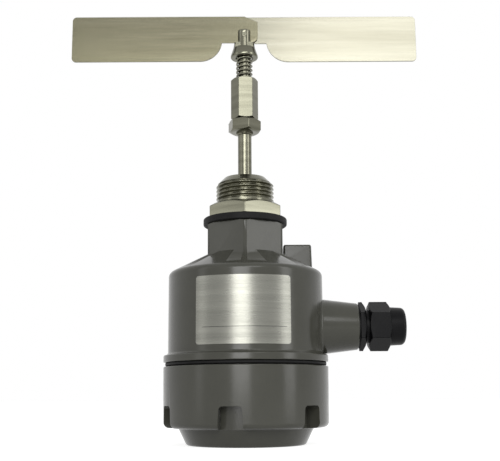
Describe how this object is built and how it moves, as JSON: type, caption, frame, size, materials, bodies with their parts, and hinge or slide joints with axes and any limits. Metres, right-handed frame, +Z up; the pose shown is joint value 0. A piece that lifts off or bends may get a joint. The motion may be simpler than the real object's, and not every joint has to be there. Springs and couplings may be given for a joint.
{
  "type": "rotary paddle level switch",
  "caption": "Bin-level switch: cast housing with a screwed cover and side cable gland, threaded nipple, and a geared-motor shaft turning a folding two-bladed paddle.",
  "frame": {"origin": "on the shaft's axis, in the flat base of the cover", "axes": "+Z up the shaft towards the paddle, +X towards the cable gland"},
  "size_m": [0.206, 0.092, 0.2509],
  "materials": {
    "paint": "glossy grey enamel on cast aluminium",
    "rubber": "matt black rubber",
    "foil": "brushed bare foil",
    "nylon": "moulded black nylon",
    "stainless": "turned stainless steel",
    "blade_sheet": "rolled stainless sheet",
    "spring_wire": "drawn spring wire",
    "bearing_steel": "ground steel",
    "zinc_plate": "zinc-plated steel",
    "brass": "turned brass",
    "board": "green laminate",
    "terminal_plastic": "moulded terminal strip",
    "switch_plastic": "moulded switch case"
  },
  "bodies": {
    "housing": {"housing": "paint", "cover_seal": "rubber", "process_gasket": "rubber", "gland_washer": "rubber", "gland_insert": "rubber", "shaft_seal": "rubber", "name_plate": "foil", "gland_body": "nylon", "gland_nut": "nylon", "process_nipple": "stainless", "return_spring": "spring_wire", "upper_bearing_outer": "bearing_steel", "upper_bearing_balls": "bearing_steel", "lower_bearing_outer": "bearing_steel", "lower_bearing_balls": "bearing_steel", "bearing_spacer": "bearing_steel", "bearing_circlip": "bearing_steel", "chassis_plate": "zinc_plate", "chassis_screws": "zinc_plate", "board_screws": "zinc_plate", "earth_screw": "zinc_plate", "terminal_screws": "zinc_plate", "stop_pin": "zinc_plate", "spring_post": "zinc_plate", "switch_screws": "zinc_plate", "board_standoffs": "brass", "switch_tags": "brass", "terminal_board": "board", "terminal_blocks": "terminal_plastic", "signal_switch_case": "switch_plastic", "stop_switch_case": "switch_plastic"},
    "cover": {"cover": "paint"},
    "rotor": {"main_shaft": "stainless", "shaft_circlips": "bearing_steel", "upper_bearing_inner": "bearing_steel", "lower_bearing_inner": "bearing_steel", "lock_nut": "stainless", "coupling_nut": "stainless", "paddle_spindle": "stainless", "pivot_pin": "stainless", "collar_spring": "spring_wire", "motor_shaft": "zinc_plate", "drive_coupler": "zinc_plate", "coupler_screws": "zinc_plate"},
    "left_blade": {"left_blade": "blade_sheet"},
    "right_blade": {"right_blade": "blade_sheet"},
    "collar": {"spring_collar": "stainless"},
    "motor_carriage": {"swing_bushing": "brass", "swing_plate": "zinc_plate", "gear_case": "zinc_plate", "motor_case": "zinc_plate", "motor_screws": "zinc_plate", "spring_hook_pin": "zinc_plate"},
    "signal_lever": {"signal_switch_lever": "zinc_plate"},
    "stop_lever": {"stop_switch_lever": "zinc_plate"},
    "signal_plunger": {"signal_switch_plunger": "switch_plastic"},
    "stop_plunger": {"stop_switch_plunger": "switch_plastic"}
  },
  "joints": [
    {"name": "cover_off", "type": "slide", "parent": "housing", "child": "cover", "axis": [0, 0, -1], "range_m": [0, 0.045]},
    {"name": "shaft_spin", "type": "hinge", "parent": "housing", "child": "rotor", "pos_m": [0, 0, 0.15061], "axis": [0, 0, 1], "continuous": true},
    {"name": "blade_fold", "type": "hinge", "parent": "rotor", "child": "left_blade", "pos_m": [0, 0, 0.23851], "axis": [0, 1, 0], "range_deg": [0, 90], "stiffness_Nm_per_rad": 0.029, "springref_deg": -75.4},
    {"name": "right_blade_fold", "type": "hinge", "parent": "rotor", "child": "right_blade", "pos_m": [0, 0, 0.23851], "axis": [0, -1, 0], "range_deg": [0, 90]},
    {"name": "collar_slide", "type": "slide", "parent": "rotor", "child": "collar", "axis": [0, 0, -1], "range_m": [0, 0.006], "deforming": ["collar_spring"]},
    {"name": "motor_swing", "type": "hinge", "parent": "housing", "child": "motor_carriage", "pos_m": [0, 0, 0.08], "axis": [0, 0, 1], "range_deg": [0, 25], "stiffness_Nm_per_rad": 0.3, "springref_deg": -20.05, "deforming": ["return_spring"]},
    {"name": "signal_lever_turn", "type": "hinge", "parent": "housing", "child": "signal_lever", "pos_m": [-0.02612, 0.00644, 0.0771], "axis": [0, 0, 1], "range_deg": [0, 8]},
    {"name": "signal_plunger_press", "type": "slide", "parent": "housing", "child": "signal_plunger", "axis": [-0.9063, 0.4226, 0], "range_m": [0, 0.0005]},
    {"name": "stop_lever_turn", "type": "hinge", "parent": "housing", "child": "stop_lever", "pos_m": [-0.02173, -0.01587, 0.0771], "axis": [0, 0, 1], "range_deg": [0, 8]},
    {"name": "stop_plunger_press", "type": "slide", "parent": "housing", "child": "stop_plunger", "axis": [-0.9063, -0.4226, 0], "range_m": [0, 0.0005]}
  ],
  "couplings": [
    {"joint": "right_blade_fold", "follows": "blade_fold", "ratio": 1},
    {"joint": "collar_slide", "follows": "blade_fold", "m_per_rad": 0.0038},
    {"joint": "signal_lever_turn", "follows": "motor_swing", "ratio": 0.32},
    {"joint": "signal_plunger_press", "follows": "motor_swing", "m_per_rad": 0.0011},
    {"joint": "stop_lever_turn", "follows": "motor_swing", "ratio": 0.32},
    {"joint": "stop_plunger_press", "follows": "motor_swing", "m_per_rad": 0.0011}
  ]
}
